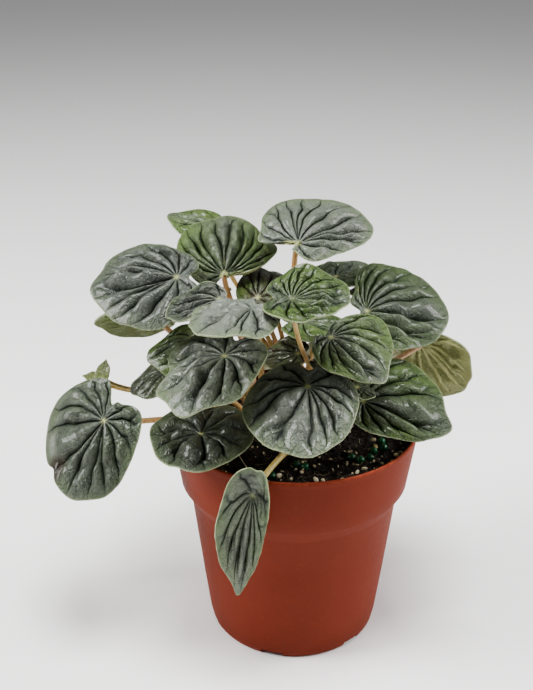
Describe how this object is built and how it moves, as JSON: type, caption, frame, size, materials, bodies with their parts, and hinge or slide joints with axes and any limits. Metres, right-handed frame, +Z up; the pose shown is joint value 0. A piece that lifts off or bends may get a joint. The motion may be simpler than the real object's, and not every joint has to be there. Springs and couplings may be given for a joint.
{
  "type": "potted peperomia",
  "caption": "Bushy potted house plant with ribbed rounded leaves on long stalks, in potting mix in a round tapered nursery pot.",
  "frame": {"origin": "centre of the pot's flat underside", "axes": "+Z up, -Y towards the front, where the leaf that hangs over the rim is"},
  "size_m": [0.1839, 0.1476, 0.1871],
  "materials": {
    "pot": "satin",
    "soil": "matte",
    "stalk": "satin",
    "blade": "satin",
    "bead": "satin"
  },
  "bodies": {
    "root": {"pot": "pot", "soil": "soil", "crown_left": "stalk", "crown_right": "stalk", "crown_back": "stalk", "leaf_left": "blade", "leaf_top_left": "blade", "leaf_top_left_rear": "blade", "leaf_top": "blade", "leaf_centre_pale": "blade", "leaf_centre_left": "blade", "leaf_front": "blade", "leaf_front_left": "blade", "leaf_far_left": "blade", "leaf_over_rim": "blade", "leaf_right": "blade", "leaf_crinkled": "blade", "leaf_crinkled_under": "blade", "leaf_right_centre": "blade", "leaf_right_low": "blade", "leaf_right_turned": "blade", "leaf_young_centre": "blade", "leaf_young_right": "blade", "leaf_young_purple": "blade", "leaf_young_grey": "blade", "leaf_right_rear": "blade", "leaf_folded_left": "blade", "leaf_left_turned": "blade", "leaf_left_inner": "blade", "leaf_left_low": "blade", "leaf_right_small": "blade", "leaf_bud_upright": "blade", "leaf_bud_flat": "blade", "leaf_rear_left": "blade", "leaf_rear_middle_left": "blade", "leaf_rear_middle": "blade", "leaf_rear_right": "blade", "leaf_rear_right_low": "blade", "leaf_rear_low_left": "blade", "leaf_rear_low": "blade", "leaf_rear_low_right": "blade", "bead_1": "bead", "bead_2": "bead", "bead_3": "bead", "bead_4": "bead", "bead_5": "bead", "bead_6": "bead", "bead_7": "bead", "bead_8": "bead", "bead_9": "bead"}
  },
  "joints": []
}
